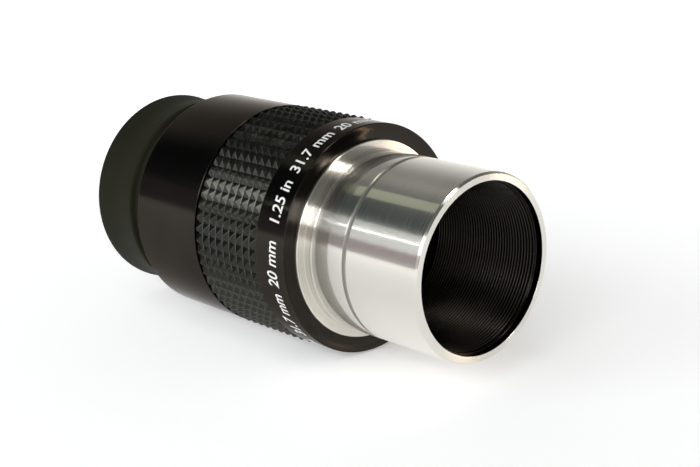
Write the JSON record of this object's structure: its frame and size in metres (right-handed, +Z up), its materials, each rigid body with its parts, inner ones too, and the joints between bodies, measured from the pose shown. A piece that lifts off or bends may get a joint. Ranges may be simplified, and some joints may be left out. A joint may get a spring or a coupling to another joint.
{
  "type": "telescope eyepiece",
  "caption": "Round telescope eyepiece with a push-fit nosepiece, lettering collar, pyramid-pattern rubber grip, lens stack and fold-down rubber eyecup.",
  "frame": {"origin": "centre of the shoulder plane, the flange face that stops against the focuser", "axes": "+X along the optical axis out of the nosepiece, +Z up with the eyepiece lying on its side"},
  "size_m": [0.0839, 0.0412, 0.0412],
  "materials": {
    "turned_aluminium": "bright turned",
    "black_alloy": "matt black anodised",
    "gloss_anodised": "gloss black anodised",
    "grip_rubber": "moulded, slight sheen",
    "satin_anodised": "satin black anodised",
    "cup_rubber": "matt",
    "flint_glass": "coated",
    "crown_glass": "coated"
  },
  "bodies": {
    "housing": {"barrel": "gloss_anodised", "front_collar": "gloss_anodised", "grip_ring": "grip_rubber", "lens_cell": "black_alloy", "cell_retaining_ring": "black_alloy", "field_flint": "flint_glass", "field_crown": "crown_glass", "field_spacer": "black_alloy", "center_lens": "crown_glass", "eye_spacer": "black_alloy", "eye_crown": "crown_glass", "eye_flint": "flint_glass", "eye_ring": "satin_anodised", "eyecup_base": "cup_rubber"},
    "stop": {"field_stop": "black_alloy"},
    "nosepiece": {"nosepiece": "turned_aluminium"},
    "eyecup": {"eyecup_skirt": "cup_rubber", "eyecup_rim": "cup_rubber"}
  },
  "joints": [
    {"name": "nosepiece_travel", "type": "slide", "parent": "housing", "child": "stop", "axis": [1, 0, 0], "range_m": [0, 0.0046]},
    {"name": "nosepiece_turn", "type": "hinge", "parent": "stop", "child": "nosepiece", "pos_m": [0, 0, 0], "axis": [1, 0, 0], "range_deg": [0, 2160]},
    {"name": "eyecup_fold", "type": "slide", "parent": "housing", "child": "eyecup", "axis": [1, 0, 0], "range_m": [0, 0.0065], "deforming": ["eyecup_skirt"]}
  ],
  "couplings": [
    {"joint": "nosepiece_travel", "follows": "nosepiece_turn", "m_per_rad": 0.00011937}
  ]
}
